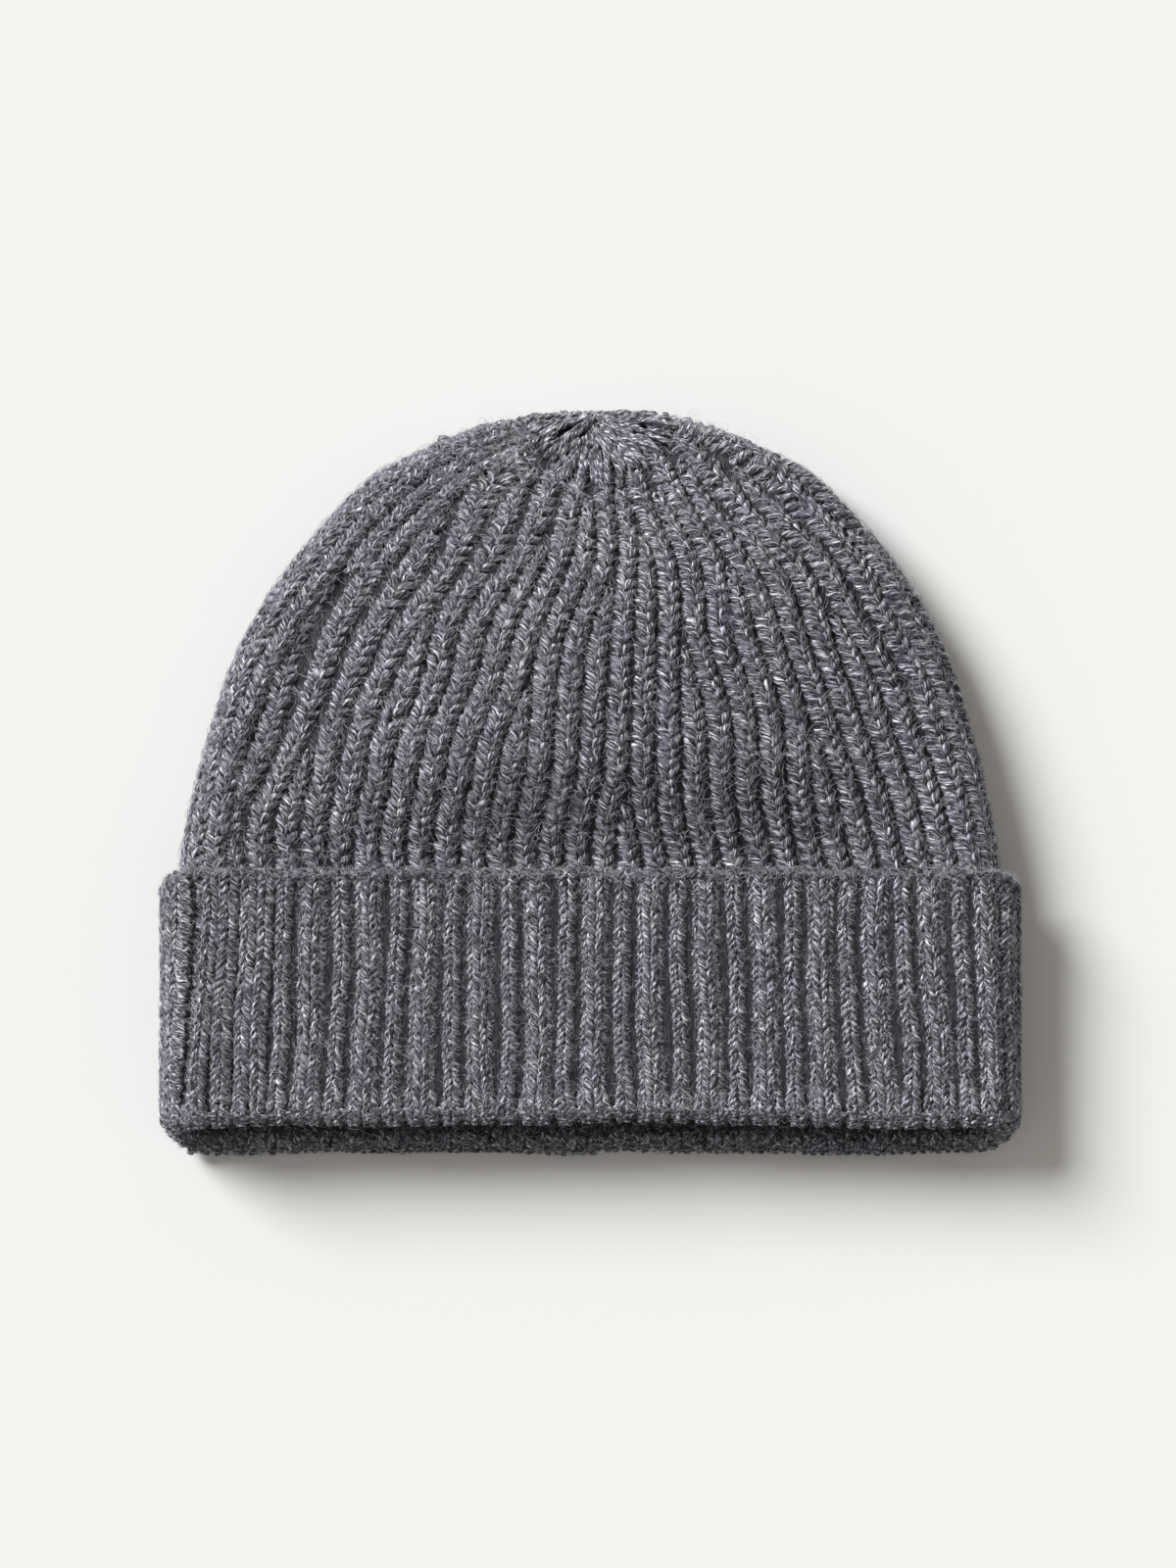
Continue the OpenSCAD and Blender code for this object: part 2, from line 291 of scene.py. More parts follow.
def legs(st, h, r, sides=(-1, 1), apex=-1, rings=9, around=7, lean_x=0.31, groove=1.0, loose=1.0,
         fill=0.94, long=0.74):
    """The legs of the stitches st. Each leg runs from the stitch's middle to the side of its wale,
    and both of its ends dive under its neighbours. h and r are the height of a row and the radius
    of the yarn, apex is where the V points along t, groove is the depth between two ribs, loose
    is how uneven the stitches are, and fill and long are how much of its wale and row a leg takes."""
    count = len(st["c"])
    t = np.linspace(0.09 * np.pi, 0.92 * np.pi, rings)[None]
    points, yarns = [], []
    for side in sides:
        w = st["w"][:, None] * fill
        hh = (h * np.ones(count))[:, None]
        rr = (r * np.ones(count) * rng.normal(1, 0.06 * loose, count))[:, None]
        rr = np.minimum(rr, 0.27 * w)
        swing = lean_x * w * rng.normal(1, 0.07 * loose, count)[:, None]
        x = w * t / (2 * np.pi) + swing * np.sin(2 * t) - w / 2
        y = -long * hh * np.cos(t)
        rib_x = -side * st.get("rib_x", np.zeros(count))[:, None] + x
        rib_half = st.get("rib_half", st["w"] / 2)[:, None]
        depth = groove * st.get("relief", np.ones(count))[:, None]
        falloff = np.minimum(np.abs(rib_x) / rib_half, 1.2) ** 2.2
        z = -0.62 * rr * np.cos(2 * t) - depth * falloff
        z = z - 1.55 * rr + rng.normal(0, 0.1 * loose, count)[:, None] * rr
        turn = rng.normal(0, 0.07 * loose, count)[:, None] + st.get("turn", np.zeros(count))[:, None]
        x = -side * x + rng.normal(0, 0.03 * loose, count)[:, None] * w
        y = -apex * y + rng.normal(0, 0.06 * loose, count)[:, None] * hh
        x, y = x * np.cos(turn) - y * np.sin(turn), x * np.sin(turn) + y * np.cos(turn)
        path = np.stack([x, y, z], 2)
        radius = rr * (0.5 + 0.5 * np.sin(t) ** 0.8)
        local, yarn = tubes(path, radius, around)
        basis = np.stack([np.cross(st["t"], st["n"]), st["t"], st["n"]], 1)
        points.append(st["c"][:, None, None] + np.einsum("nrsi,nij->nrsj", local, basis))
        yarns.append(yarn)
    return np.concatenate(points), np.concatenate(yarns)


def tubes(path, radius, around, twist=1.1):
    """Rings of points round each path, and each point's place in the yarn: how far along it the
    point lies, and where across it."""
    along = unit(np.gradient(path, axis=1))
    level = np.zeros_like(along)
    level[..., 2] = 1
    across = unit(np.cross(along, level))
    out = np.cross(across, along)
    step = np.linalg.norm(np.diff(path, axis=1), axis=2)
    run = np.concatenate([np.zeros((len(path), 1)), np.cumsum(step, 1)], 1)
    phi = 2 * np.pi * np.arange(around) / around
    start = rng.uniform(0, 2 * np.pi, (len(path), 1))
    spin = start + twist * run
    ply = 1 + 0.07 * np.cos(2 * (phi[None, None] - spin[..., None]))
    rr = radius[..., None] * ply
    points = path[:, :, None] + rr[..., None] * (
        np.cos(phi)[None, None, :, None] * across[:, :, None]
        + np.sin(phi)[None, None, :, None] * out[:, :, None]
    )
    angle = phi[None, None] - spin[..., None] * 0.6
    length = np.broadcast_to((run + rng.uniform(0, 500, (len(path), 1)))[..., None], rr.shape)
    yarn = np.stack([length, rr * np.cos(angle), rr * np.sin(angle)], 3)
    return points, yarn


def fibres(st, h, count, length, lift, radius):
    """Loose fibres over the stitches st: thin arcs, some with a free end that stands up."""
    pick = rng.integers(0, len(st["c"]), count)
    c, t, n = st["c"][pick], st["t"][pick], st["n"][pick]
    a = np.cross(t, n)
    w = st["w"][pick]
    x = rng.uniform(-0.5, 0.5, count) * w
    y = rng.uniform(-0.5, 0.5, count) * h
    side = np.sign(x) + (x == 0)
    heading = rng.normal(0.75, 0.55, count) * side
    size = length * rng.lognormal(0, 0.35, count)
    way = np.sin(heading)[:, None] * a + np.cos(heading)[:, None] * t
    off = np.cross(n, way)
    s = np.linspace(0, 1, 5)[None, :, None]
    high = (lift * rng.lognormal(-0.35, 0.6, count))[:, None, None]
    free = (rng.uniform(0, 1, count) < 0.35)[:, None, None]
    rise = np.where(free, s ** 1.5, np.sin(np.pi * s)) * high
    bend = (rng.normal(0, 0.22, count) * size)[:, None, None]
    sag = 0.9 * (2 * np.abs(x) / w)[:, None, None] ** 2.5
    base = c + a * x[:, None] + t * y[:, None]
    path = base[:, None] + way[:, None] * (s - 0.5) * size[:, None, None]
    path = path + off[:, None] * bend * np.sin(np.pi * s) + n[:, None] * (rise - 0.25 - sag)
    thick = radius * rng.uniform(0.7, 1.3, (count, 1)) * np.array([[0.6, 1, 1, 0.9, 0.4]])
    return tubes(path, thick, 3)


# ---------------------------------------------------------------- meshes


def grid_faces(count, rings, sides):
    """Corner indices of the side faces and of the end caps of count tubes."""
    first = np.arange(count)[:, None, None] * rings * sides
    ring = np.arange(rings - 1)[None, :, None] * sides
    j = np.arange(sides)[None, None]
    k = (j + 1) % sides
    quads = np.stack([first + ring + j, first + ring + k, first + ring + sides + k,
                      first + ring + sides + j], 3)
    start = first[:, 0] + np.arange(sides)[::-1][None]
    end = first[:, 0] + (rings - 1) * sides + np.arange(sides)[None]
    return quads, np.stack([start, end], 1)


def raw_mesh(name, points, corners, sizes, uv=None):
    """A smooth mesh from flat arrays: points in mm, face corners, and the corners of each face."""
    me = bpy.data.meshes.new(name)
    me.vertices.add(len(points))
    me.vertices.foreach_set("co", (points * MM).astype(np.float32).ravel())
    me.loops.add(len(corners))
    me.loops.foreach_set("vertex_index", corners.astype(np.int32))
    me.polygons.add(len(sizes))
    starts = np.concatenate([[0], np.cumsum(sizes)[:-1]]).astype(np.int32)
    me.polygons.foreach_set("loop_start", starts)
    me.polygons.foreach_set("use_smooth", np.ones(len(sizes), bool))
    if uv is not None:
        layer = me.uv_layers.new(name="OFBake")
        layer.data.foreach_set("uv", uv.astype(np.float32).ravel())
    me.update(calc_edges=True)
    return me


def set_yarn(me, yarn):
    """Each point's place in the yarn, which the wool's streaks follow."""
    layer = me.attributes.new("yarn", "FLOAT_VECTOR", "POINT")
    layer.data.foreach_set("vector", yarn.astype(np.float32).ravel())


def place_piece(name, me, material, body, nodes):
    me.materials.append(material)
    piece = bpy.data.objects.new(name, me)
    bpy.context.scene.collection.objects.link(piece)
    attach(piece, body)
    if nodes:
        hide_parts(*nodes)
    return piece


def yarn_piece(name, made, material, body, nodes=()):
    """One piece from many closed tubes, each with a cell of its own on the piece's map. What would
    reach below the surface that the hat lies on is pressed flat."""
    points, yarn = made
    pressed = 0.1
    points[..., 2] = np.where(points[..., 2] < 0, pressed * points[..., 2], points[..., 2])
    count, rings, sides = points.shape[:3]
    quads, caps = grid_faces(count, rings, sides)
    corners = np.concatenate([quads.ravel(), caps.ravel()])
    sizes = np.concatenate([np.full(count * (rings - 1) * sides, 4), np.full(count * 2, sides)])
    columns = int(np.ceil(np.sqrt(count)))
    rows = int(np.ceil(count / columns))
    cell = np.stack([np.arange(count) % columns, np.arange(count) // columns], 1).astype(float)
    ring, side = np.meshgrid(np.arange(rings - 1), np.arange(sides), indexing="ij")
    u = np.stack([ring, ring, ring + 1, ring + 1], 2) / (rings - 1) * 0.72 + 0.14
    v = np.stack([side, side + 1, side + 1, side], 2) / sides * 0.9 + 0.05
    side_uv = cell[:, None, None, None] + np.stack([u, v], 3)[None]
    phi = 2 * np.pi * np.arange(sides) / sides
    disc = np.stack([0.05 * np.cos(phi), 0.4 * np.sin(phi)], 1)
    cap_uv = np.stack([disc + [0.06, 0.5], disc + [0.94, 0.5]])[None] + cell[:, None, None]
    uv = np.concatenate([side_uv.reshape(-1, 2), cap_uv.reshape(-1, 2)]) / [columns, rows]
    me = raw_mesh(name, points.reshape(-1, 3), corners, sizes, uv)
    set_yarn(me, yarn)
    return place_piece(name, me, material, body, nodes)


def loft_piece(name, rounds, material, body, nodes=(), closed=False):
    """A closed solid from rounds of points. Its ends meet if closed, or else each end has a fan."""
    count, around = rounds.shape[:2]
    k = np.arange(count if closed else count - 1)[:, None] * around
    j = np.arange(around)[None]
    n = (j + 1) % around
    after = (k + around) % (count * around)
    quads = np.stack([k + j, k + n, after + n, after + j], 2)
    corners, sizes = quads.ravel(), np.full(quads.shape[0] * around, 4)
    points = rounds.reshape(-1, 3)
    if not closed:
        points = np.concatenate([points, rounds[0].mean(0)[None], rounds[-1].mean(0)[None]])
        last = (count - 1) * around
        start = np.stack([np.full(around, count * around), n[0], j[0]], 1)
        end = np.stack([np.full(around, count * around + 1), last + j[0], last + n[0]], 1)
        corners = np.concatenate([corners, start.ravel(), end.ravel()])
        sizes = np.concatenate([sizes, np.full(2 * around, 3)])
    me = raw_mesh(name, points, corners, sizes)
    set_yarn(me, points[:, [1, 0, 2]])
    return place_piece(name, me, material, body, nodes)


# ---------------------------------------------------------------- materials


def node(tree, kind, **values):
    made = tree.nodes.new(kind)
    for key, value in values.items():
        if key in made.inputs:
            made.inputs[key].default_value = value
        else:
            setattr(made, key, value)
    return made


def ramp(tree, source, stops):
    made = node(tree, "ShaderNodeValToRGB")
    while len(made.color_ramp.elements) < len(stops):
        made.color_ramp.elements.new(0.5)
    for element, (at, colour) in zip(made.color_ramp.elements, stops):
        element.position = at
        element.color = (*colour, 1)
    tree.links.new(source, made.inputs["Fac"])
    return made.outputs["Color"]


def grey(value, blue=1.06):
    return (value, value * 0.995, value * blue)


def noise(tree, vector, scale, detail=2.0, rough=0.5):
    made = node(tree, "ShaderNodeTexNoise", Scale=scale, Detail=detail, Roughness=rough)
    tree.links.new(vector, made.inputs["Vector"])
    return made.outputs["Fac"]


def multiply(tree, first, second):
    made = node(tree, "ShaderNodeMix", data_type="RGBA", blend_type="MULTIPLY")
    made.inputs[0].default_value = 1.0
    tree.links.new(first, made.inputs[6])
    tree.links.new(second, made.inputs[7])
    return made.outputs[2]


def wool(name, stops, sheen=0.35, streak=(0.42, 2.1, 2.1), bump=0.7):
    """Marled wool: dark and light fibres in streaks along the yarn, under slow drifts of colour."""
    material = bpy.data.materials.new(name)
    material.use_nodes = True
    tree = material.node_tree
    shader = tree.nodes["Principled BSDF"]
    shader.inputs["Roughness"].default_value = 0.92
    shader.inputs["Specular IOR Level"].default_value = 0.18
    shader.inputs["Sheen Weight"].default_value = sheen
    shader.inputs["Sheen Roughness"].default_value = 0.45
    yarn = node(tree, "ShaderNodeAttribute", attribute_name="yarn").outputs["Vector"]
    stretch = node(tree, "ShaderNodeMapping", Scale=streak)
    tree.links.new(yarn, stretch.inputs["Vector"])
    fibre = noise(tree, stretch.outputs["Vector"], 1.0, 3.0, 0.62)
    colour = ramp(tree, fibre, stops)
    place = node(tree, "ShaderNodeTexCoord").outputs["Object"]
    drift = noise(tree, place, 70.0, 2.0, 0.5)
    tint = ramp(tree, drift, [(0.32, (0.94, 0.94, 0.99)), (0.5, (1, 1, 1)), (0.68, (1.06, 1.06, 1.03))])
    colour = multiply(tree, colour, tint)
    clump = noise(tree, place, 420.0, 2.0, 0.5)
    shade = ramp(tree, clump, [(0.3, (0.72, 0.72, 0.74)), (0.7, (1.25, 1.25, 1.25))])
    colour = multiply(tree, colour, shade)
    tree.links.new(colour, shader.inputs["Base Color"])
    relief = node(tree, "ShaderNodeBump", Strength=bump, Distance=0.0003)
    tree.links.new(fibre, relief.inputs["Height"])
    tree.links.new(relief.outputs["Normal"], shader.inputs["Normal"])
    return material


def darker(stops, share):
    return [(at, tuple(share * c for c in colour)) for at, colour in stops]


marl = [
    (0.38, grey(0.01, 1.2)), (0.45, grey(0.045, 1.26)), (0.52, grey(0.12, 1.24)),
    (0.59, grey(0.38, 1.16)), (0.67, grey(0.85, 1.04)),
]
fuzz = [(0.3, grey(0.16, 1.16)), (0.5, grey(0.42, 1.14)), (0.7, grey(0.85, 1.06))]
crown_wool = wool("crown_wool", marl)
cuff_wool = wool("cuff_wool", marl, streak=(0.5, 2.5, 2.5))
# The inside wool is the wool darkened to 0.45: painted shade for the knit inside the hat, where little
# light falls
inside_wool_painted_shade = wool("inside_wool_painted_shade", darker(marl, 0.45))
# The edge wool is the wool darkened to 0.36: painted shade, so that the cuff's rounded edge, which faces
# the lamp, reads less lit
edge_wool_painted_shade = wool("edge_wool_painted_shade", darker(marl, 0.36))
fuzz_wool = wool("fuzz_wool", fuzz, sheen=0.2, bump=0.0)
# Near-black wool for the grounds under the knit: painted shade in the gaps between the yarns
ground_wool_painted_shade = wool("ground_wool_painted_shade", [(0.35, grey(0.015, 1.2)), (0.65, grey(0.06, 1.2))], sheen=0.1)

# ---------------------------------------------------------------- the crown
place, rib_width = rib_places()
chains = []
for i in range(crown_ribs):
    course = crown_course * rng.normal(1, 0.015)
    chains.append(stitch_chain(place[i], rib_width[i], course, rng.uniform(0.2, 0.8)))
crown = join(chains)

# Wales along the left outline, where the sides of the knit are sewn together
edge_arcs = np.array([1.2, 8.1, 15.0, 21.9, 28.8])      # from the outline to each one's middle
outline_u = np.argmin(crown_points[:, :, 0], 1) / AROUND
edge_u = outline_u[None] + edge_arcs[:, None] / girth[None]
edge_chains = []
for j, u in enumerate(edge_u):
    chain = stitch_chain(u, np.full(LEVELS, edge_wale_w), crown_course)
    start_y = top_y - edge_fan_l + 2 * (j - full_edge_wales)
    edge_chains.append(keep(chain, (j < full_edge_wales) | (chain["c"][:, 1] > start_y)))
edge_wales = join(edge_chains)
edge_wales["c"] = edge_wales["c"] + edge_raise * edge_wales["n"]
edge_wales = keep(edge_wales, edge_wales["c"][:, 1] < top_y - top_clear)


def depth_in_edge(u, y, overlap):
    """How far a stitch at share u of the way round lies inside the edge wales' zone, measured from
    its low and its high end as shares of the way round. Overlap widens the zone at both ends."""
    last = np.where(top_y - level_y > edge_all_l, edge_u[full_edge_wales - 1], edge_u[-1])
    low = np.interp(y, level_y, edge_u[0] - overlap / girth)
    high = np.interp(y, level_y, last + overlap / girth)
    return u - low, high - u


# Ribs pass under the edge wales and end there
from_low, from_high = depth_in_edge(crown["place"], crown["c"][:, 1], edge_overlap)
clear = (from_low < 0) | (from_high < 0) | (crown["c"][:, 1] > top_y - top_clear)
tip = crown["c"][:, 1] + 0.85 * crown_course * np.abs(crown["t"][:, 1])
crown = keep(crown, clear & (crown["w"] > 2.2) & (tip < top_y - 0.6) & (crown["c"][:, 1] < top_y - 2.2))
from_low, from_high = depth_in_edge(crown["place"], crown["c"][:, 1], dive_l)
under = ((from_low > 0) & (from_high > 0)).astype(float)[:, None]
crown["c"] = crown["c"] - dive * under * crown["n"]
crown = join([crown, edge_wales])


def settle_crown(st):
    """Soft waves in the crown, folds that fan out from the gather, the closing seam's groove and
    the swell of the sides, with looser stitches at the top."""
    c, d = st["c"], top_y - st["c"][:, 1]
    front = (c[:, 2] > crown_side_middle(c[:, 1])).astype(float)
    wave = np.sin(c[:, 0] / 19 + c[:, 1] / 31) + np.sin(c[:, 0] / 11 - c[:, 1] / 17 + 1.3)
    sink = 0.35 * (1 + wave / 2) * smooth((d - 4) / 30)
    angle = np.arctan2(c[:, 0] - 5, d + 2)
    folds = 0.5 - 0.5 * np.cos(angle * 9 + 0.8)
    sink = sink + 1.3 * folds * front * smooth(1 - d / 30)
    seam_x = 5.5 + 9 * smooth((d - 24) / 16)
    groove = np.exp(-(((c[:, 0] - seam_x) / 1.3) ** 2)) * smooth((42 - d) / 16) * smooth(d / 4)
    sink = sink + 1.6 * groove * front
    rim = (1 - st["n"][:, 2] ** 2) * smooth((d - 8) / 15) * smooth((95 - d) / 35)
    st["c"] = c + st["n"] * (1.9 * rim - sink)[:, None]
    st["turn"] = rng.normal(0, 1, len(c)) * (0.04 + 0.3 * smooth(1 - d / 34))
    return st


STRAND_RINGS = 9


def gather_strands(front):
    """Drawn-up stitches at the top: long strands that all run towards the middle of the gather."""
    near = top_y - crown_points[:, :, 1] < gather_r + 9
    is_near = near & ((crown_points[:, :, 2] > crown_side_middle(crown_points[:, :, 1])) == front)
    surface, normals = crown_points[is_near], crown_normals[is_near]
    paths = []
    for row, reach in enumerate(np.arange(3.2, gather_r + 2.5, 3.4)):
        count = int(np.pi * reach / 1.55)
        for k in range(count):
            angle = np.pi * ((k + 0.5 + 0.3 * (row % 2)) / count - 0.5) + rng.normal(0, 0.07)
            half = np.linspace(-3.1, 3.1, STRAND_RINGS)
            out = reach + rng.normal(0, 0.7) + half * rng.uniform(0.8, 1.15)
            x = apex_x + np.maximum(out, 0.4) * np.sin(angle)
            y = top_y - 0.5 - np.maximum(out, 0.2) * np.cos(angle)
            apart = (surface[None, :, 0] - x[:, None]) ** 2 + (surface[None, :, 1] - y[:, None]) ** 2
            pick = np.argmin(apart, 1)
            base, n = surface[pick], normals[pick]
            straight = base[0] + (base[-1] - base[0]) * np.linspace(0, 1, STRAND_RINGS)[:, None]
            base = base * 0.6 + 0.4 * straight
            hump = 0.55 * np.sin(np.linspace(0, np.pi, STRAND_RINGS)) - 0.6 + rng.normal(0, 0.15)
            if front:
                fold = 0.5 - 0.5 * np.cos(np.clip(angle + 0.35, -0.7, 0.7) / 0.7 * np.pi)
                hump = hump - 1.5 * (1 - fold) * smooth((gather_r + 4 - reach) / 8)
            paths.append(base + n * hump[:, None])
    paths = np.array(paths)
    taper = 0.55 + 0.45 * np.sin(np.linspace(0.1, 3.0, STRAND_RINGS))
    radius = 0.86 * rng.normal(1, 0.12, (len(paths), 1)) * taper
    return tubes(paths, radius, 7)


crown = settle_crown(crown)
from_apex = np.hypot(crown["c"][:, 0] - apex_x, top_y - crown["c"][:, 1])
crown = keep(crown, from_apex > gather_r - 1.5)
courses = crown_course * (1 - 0.12 * smooth(1 - (top_y - crown["c"][:, 1]) / 30))


def quarters(prefix, st):
    """Which of the stitches are in each quarter of the hat, by the quarter's name."""
    front, left = st["n"][:, 2] > 0, st["c"][:, 0] < 0
    return {
        prefix + "_front_left": front & left, prefix + "_front_right": front & ~left,
        prefix + "_back_left": ~front & left, prefix + "_back_right": ~front & ~left,
    }


for name, mask in quarters("crown", crown).items():
    part = keep(crown, mask)
    made = legs(part, courses[mask], crown_yarn_r, groove=crown_groove, fill=0.77, long=0.95, loose=0.95)
    yarn_piece(name, made, crown_wool, "hat", ["crown_knit"])
    amount = {"crown_front_left": 7000, "crown_front_right": 4500}.get(name, 3500)
    made = fibres(part, crown_course, amount, 3.4, 0.55, 0.05)
    yarn_piece(name + "_fuzz", made, fuzz_wool, "hat")

for name, front in {"crown_gather_front": True, "crown_gather_back": False}.items():
    yarn_piece(name, gather_strands(front), crown_wool, "hat", ["crown_knit"])


def rim_strands():
    """Short strands that run over the crown's upper edge, from its front to its back."""
    draw = np.random.default_rng(11)
    left_reach, right_reach, depth = 72, 40, 46
    near = top_y - crown_points[:, :, 1] < depth
    surface, normals = crown_points[near], crown_normals[near]
    paths = []
    for x in np.arange(apex_x - left_reach, apex_x + right_reach, 1.0):
        beside = np.abs(surface[:, 0] - x - draw.normal(0, 0.3)) < 1.3
        points, n = surface[beside], normals[beside]
        hub_y = points[:, 1].max() - 4
        angle = np.arctan2(points[:, 2] - crown_side_middle(hub_y), points[:, 1] - hub_y)
        turns = np.linspace(1.35, -1.35, STRAND_RINGS) + draw.normal(0, 0.12)
        pick = np.argmin(np.abs(angle[None] - turns[:, None]), 1)
        path = points[pick] - (0.95 + 0.3 * np.sin(x * 2.1)) * n[pick]
        path[1:-1] = (path[:-2] + path[1:-1] + path[2:]) / 3
        paths.append(path)
    radius = 0.86 * draw.normal(1, 0.1, (len(paths), 1)) * np.ones(STRAND_RINGS)
    return tubes(np.array(paths), radius, 7)


yarn_piece("crown_rim_strands", rim_strands(), crown_wool, "hat", ["crown_knit"])

# The crown's ground: a layer of knit under the ribs, with the hollow inside it; its near-black wool is
# painted shade in the gaps between the ribs
closing = np.sin(np.pi / 2 * np.linspace(0, 1, 70))
ground_ys = crown_start_y + (top_y - crown_start_y) * closing
outer, _ = crown_grid(lining_inset, 264, np.minimum(ground_ys, top_y - 4.5))
cavity_ys = crown_start_y + (top_y - gather_l - crown_start_y) * closing
inner, _ = crown_grid(crown_knit_t, 264, cavity_ys)
shrink = 1 - crown_knit_t * 0.6 / np.maximum(crown_half_w(cavity_ys), 8)
inner[:, :, 0] *= shrink[:, None]
loft_piece("crown_lining", np.concatenate([inner[::-1], outer]), ground_wool_painted_shade, "hat")

# ---------------------------------------------------------------- the cuff's surface


def stadium(q, inset):
    """Point and outward normal, as x, z, nx and nz, at arc length q, which runs round the cuff's
    outside from the middle of its front towards +X."""
    r = cuff_h / 2
    total = 4 * cuff_flat + 2 * np.pi * r
    q = q % total
    flip = q > total / 2
    q = np.where(flip, total - q, q)
    on_front, on_back = q < cuff_flat, q > cuff_flat + np.pi * r
    a = np.clip((q - cuff_flat) / r, 0, np.pi)
    x = np.where(on_front, q, np.where(on_back, total / 2 - q, cuff_flat))
    nx, nz = np.sin(a), np.cos(a)
    x = x + (r - inset) * nx
    z = r + (r - inset) * nz
    sign = np.where(flip, -1, 1)
    return x * sign, z, nx * sign, nz


cuff_girth = 4 * cuff_flat + np.pi * cuff_h
flat_run = cuff_depth - fold_r      # from the free edge to where the lip's turn starts
fold_run = np.pi * fold_r           # round the lip
lip_bow = 4.0                       # how far the middle of the front lip bows in
lip_bow_half_w = 105
corner_r = 9.0                      # how far in the lip's corners are rounded
lip_zone = 14                       # how far from the lip those reach


def cuff_frames(q, s, inset=0.0, lip_wave=0.8):
    """Stitches on the turned-up cuff: s runs from its free edge down the outside, round the lip and
    up the inside."""
    s = s * np.ones_like(q)
    turn = np.clip((s - flat_run) / fold_r, 0, np.pi)
    reach = fold_r * (1 - np.cos(turn)) + inset * np.cos(turn)
    x, z, nx, nz = stadium(q, reach)
    mouth = slope * (z - fold_r) - top_y + lip_overreach
    after = np.maximum(s - flat_run - fold_run, 0)
    y = mouth + fold_r + np.maximum(flat_run - s, 0) - (fold_r - inset) * np.sin(turn) + after
    wave = np.sin(q / 17 + 0.6) + 0.6 * np.sin(q / 7.3) + 1.2
    bow = lip_bow * np.maximum(nz, 0) * np.maximum(1 - (x / lip_bow_half_w) ** 2, 0)
    corner = corner_r * smooth((np.abs(x) - cuff_w / 2 + corner_r) / corner_r) ** 1.5
    near_lip = smooth(1 - np.abs(s - flat_run - fold_run / 2) / lip_zone)
    y = y + lip_wave * 0.5 * (wave + bow + corner) * near_lip
    out = np.stack([nx, np.zeros_like(nx), nz], 1)
    down = np.array([0, -1.0, 0])
    n = np.cos(turn)[:, None] * out + np.sin(turn)[:, None] * down
    t = -(np.cos(turn)[:, None] * down - np.sin(turn)[:, None] * out)
    return dict(c=np.stack([x, y, z], 1), t=unit(t), n=unit(n), q=q, s=s)


def splay(q, s):
    """How far the ribs have spread sideways at s, since the lip is wider than the free edge."""
    front_x = np.where(np.abs(q) < cuff_girth / 4, q, np.sign(q) * cuff_girth / 2 - q)
    return 0.03 * front_x * smooth(s / cuff_depth) ** 1.5


def cuff_stitches(s_from, s_to, inset=0.0, fade=True, lip_wave=0.8):
    """Stitches of the fine rib, one narrow rib of one wale and one wide rib of two wales in turn.
    With fade, the grooves between them run out towards the free edge and the lip."""
    repeat = cuff_girth / cuff_repeats
    narrow, wide = repeat * narrow_share, repeat * (1 - narrow_share)
    rows = np.arange(s_from + cuff_course / 2, s_to, cuff_course)
    columns = []
    for i in range(cuff_repeats):
        for side in (0, -1, 1):
            q = narrow_centre_x + i * repeat + (narrow + wide) / 2 * (side != 0)
            q = q if q < cuff_girth / 2 else q - cuff_girth
            s = rows + rng.uniform(-0.3, 0.3) * cuff_course
            s = s + rng.normal(0, 0.05 * cuff_course, len(s))
            relief = np.ones(len(s))
            if fade:
                relief = smooth((s - 1) / 4) * (0.15 + 0.85 * smooth((flat_run - s - 1) / 7))
                relief = relief * (0.15 if felted_q[0] < q < felted_q[1] else 1)
            rib = (wide if side else narrow) - rib_gap * relief
            sway = 0.35 * np.sin(s / 11 + i * 1.7) + 0.2 * np.sin(s / 5 + i * 2.9)
            st = cuff_frames(q + side * rib / 4 + splay(q, s) + sway, s, inset, lip_wave)
            width = rib / 2 if side else rib
            st.update(w=width, rib_x=side * rib / 4, rib_half=rib / 2, relief=0.2 + 0.8 * relief)
            columns.append(st)
    return join(columns)


# Where the side seam runs, and the ribs beside it, which it draws in
seam_x = cuff_seam_in - cuff_w / 2
seam_turn = np.arcsin(np.clip((-seam_x - cuff_flat) / (cuff_h / 2), 0, 1))
seam_q = -(cuff_flat + cuff_h / 2 * seam_turn)
outside = cuff_stitches(edge_l - 1.2, flat_run - 0.2)
seam_middle = seam_q + splay(np.full(len(outside["s"]), seam_q), outside["s"])
under = np.abs(outside["q"] - seam_middle) < cuff_seam_w / 2 + 1.0
outside["c"] = outside["c"] - 1.3 * under[:, None] * outside["n"]

fine_rib = dict(apex=1, rings=8, around=6, lean_x=0.3, groove=cuff_groove)
for name, mask in quarters("cuff", outside).items():
    part = keep(outside, mask)
    made = legs(part, cuff_course, cuff_yarn_r, **fine_rib, long=1.15)
    yarn_piece(name, made, cuff_wool, "cuff", ["cuff_band"])
    amount = {"cuff_front_left": 5000, "cuff_front_right": 3200}.get(name, 2500)
    made = fibres(part, cuff_course, amount, fuzz_l, 0.4, 0.038)
    yarn_piece(name + "_fuzz", made, fuzz_wool, "cuff")

lip = cuff_stitches(flat_run - 0.2, flat_run + fold_run + 0.4)
made = legs(lip, cuff_course, cuff_yarn_r, **fine_rib, long=1.1)
yarn_piece("cuff_lip", made, cuff_wool, "cuff", ["cuff_fold"])
made = fibres(lip, cuff_course, 3000, fuzz_l, 0.5, 0.045)
yarn_piece("cuff_lip_fuzz", made, fuzz_wool, "cuff")


